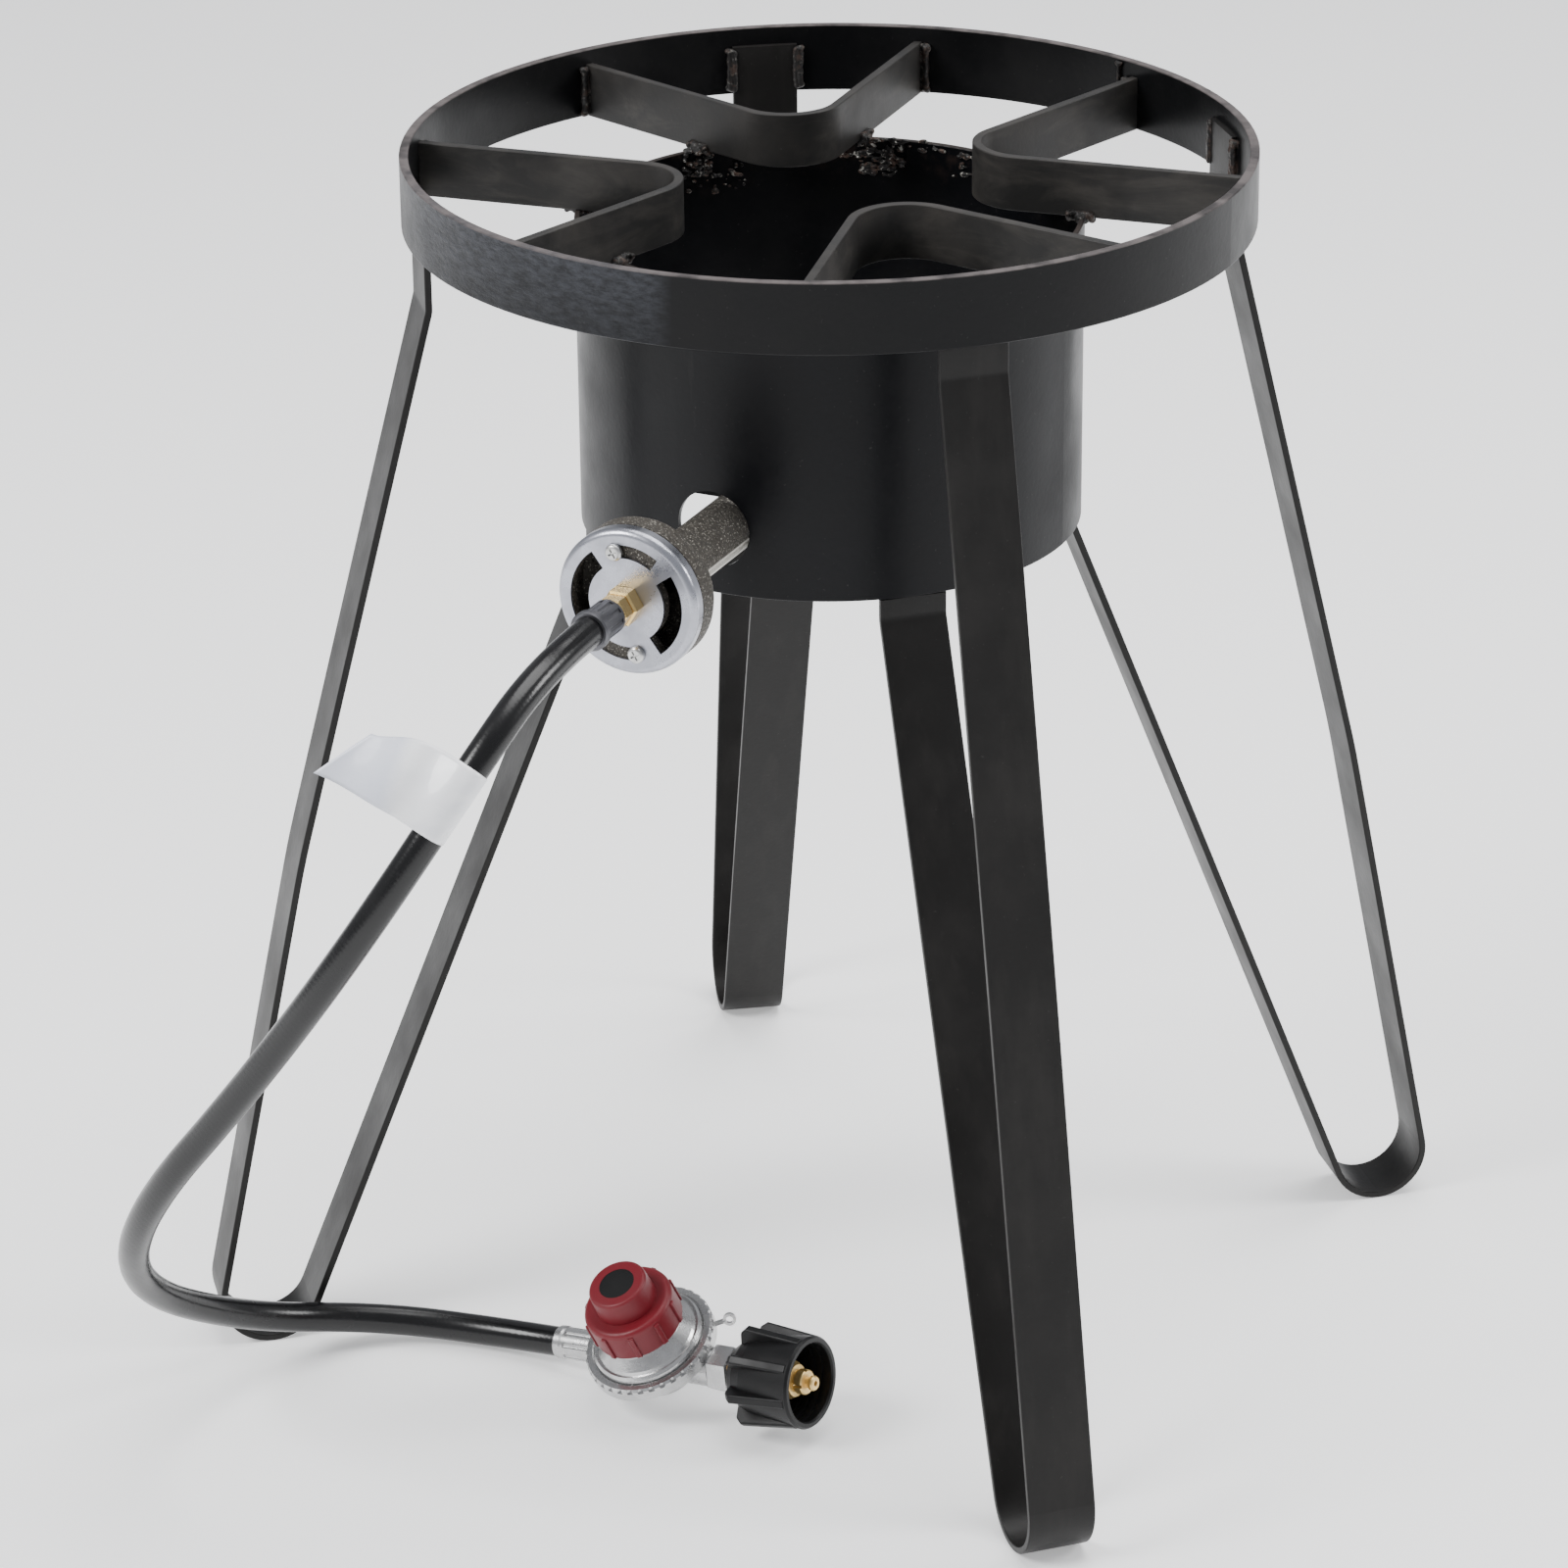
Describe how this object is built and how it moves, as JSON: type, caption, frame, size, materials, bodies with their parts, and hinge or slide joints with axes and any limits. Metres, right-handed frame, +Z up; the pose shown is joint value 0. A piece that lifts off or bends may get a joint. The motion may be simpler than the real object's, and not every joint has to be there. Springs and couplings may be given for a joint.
{
  "type": "outdoor propane burner stand",
  "caption": "Free-standing outdoor gas burner on hairpin legs, with a pot ring, wind guard, cast burner, air shutter, hose and tank regulator.",
  "frame": {"origin": "on the floor, within 2 mm of the middle of what the four unequal legs and the burner ferrule take up; the ring centre is 5 mm to +X and 7 mm to -Y of it", "axes": "+Z up; the burner's air tube points along -Y; +X to the right when facing the air shutter"},
  "size_m": [0.4552, 0.5939, 0.528],
  "materials": {
    "black_paint": "satin powder coat over hot-rolled steel",
    "weld_steel": "weld metal, painted over in part",
    "cast_iron": "rough sand casting",
    "shutter_zinc": "zinc-plated sheet steel",
    "plated_steel": "bright zinc plating",
    "regulator_zinc": "bright die-cast and pressed zinc",
    "yellow_brass": "machined",
    "dark_ferrule": "darkened crimped steel",
    "hose_rubber": "satin",
    "red_plastic": "moulded",
    "black_plastic": "moulded",
    "label_film": "white film, blank",
    "nitrile": "matte"
  },
  "bodies": {
    "stand": {"top_ring": "black_paint", "wind_guard": "black_paint", "pot_bracket_front": "black_paint", "pot_bracket_right": "black_paint", "pot_bracket_back": "black_paint", "pot_bracket_left": "black_paint", "leg_front": "black_paint", "leg_right": "black_paint", "leg_back": "black_paint", "leg_left": "black_paint", "bracket_ring_welds": "weld_steel", "leg_ring_welds": "weld_steel", "leg_guard_welds": "weld_steel", "bracket_guard_welds": "weld_steel", "ring_seam_weld": "weld_steel", "burner_casting": "cast_iron", "burner_cap": "cast_iron", "cap_screw": "plated_steel", "burner_strap": "black_paint", "strap_washer": "plated_steel", "burner_bolt": "plated_steel", "shutter_screws": "plated_steel", "orifice_fitting": "yellow_brass", "flare_nut": "yellow_brass", "burner_ferrule": "dark_ferrule", "hose": "hose_rubber", "hose_label": "label_film", "outlet_fitting": "regulator_zinc", "regulator_body": "regulator_zinc", "regulator_bonnet": "regulator_zinc", "diaphragm": "nitrile", "adjusting_spring": "plated_steel", "vent_eyelet": "regulator_zinc", "inlet_fitting": "regulator_zinc", "thermal_bushing": "black_plastic", "inlet_nipple": "yellow_brass"},
    "shutter": {"air_shutter": "shutter_zinc"},
    "knob": {"regulator_knob": "red_plastic", "knob_disc": "black_plastic", "adjusting_screw": "plated_steel"},
    "button": {"spring_button": "plated_steel"},
    "valve": {"diaphragm_plate": "plated_steel", "valve_stem": "yellow_brass"},
    "nut": {"coupling_nut": "black_plastic"}
  },
  "joints": [
    {"name": "shutter_turn", "type": "hinge", "parent": "stand", "child": "shutter", "pos_m": [0.005, -0.2045, 0.394], "axis": [0, -1, 0], "range_deg": [0, 40]},
    {"name": "knob_turn", "type": "hinge", "parent": "stand", "child": "knob", "pos_m": [-0.014, -0.159, 0.0285], "axis": [0.1799, 0.4219, -0.8886], "range_deg": [0, 1080]},
    {"name": "button_travel", "type": "slide", "parent": "stand", "child": "button", "axis": [0.1799, 0.4219, -0.8886], "range_m": [0, 0.00375], "deforming": ["adjusting_spring"]},
    {"name": "valve_travel", "type": "slide", "parent": "stand", "child": "valve", "axis": [0.1799, 0.4219, -0.8886], "range_m": [0, 0.0008], "stiffness_N_per_m": 300, "deforming": ["diaphragm"]},
    {"name": "nut_turn", "type": "hinge", "parent": "stand", "child": "nut", "pos_m": [0.06511, -0.16428, 0.02941], "axis": [0.9821, -0.1275, 0.1384], "continuous": true}
  ],
  "couplings": [
    {"joint": "knob_turn", "follows": "button_travel", "rad_per_m": 5026.5}
  ]
}
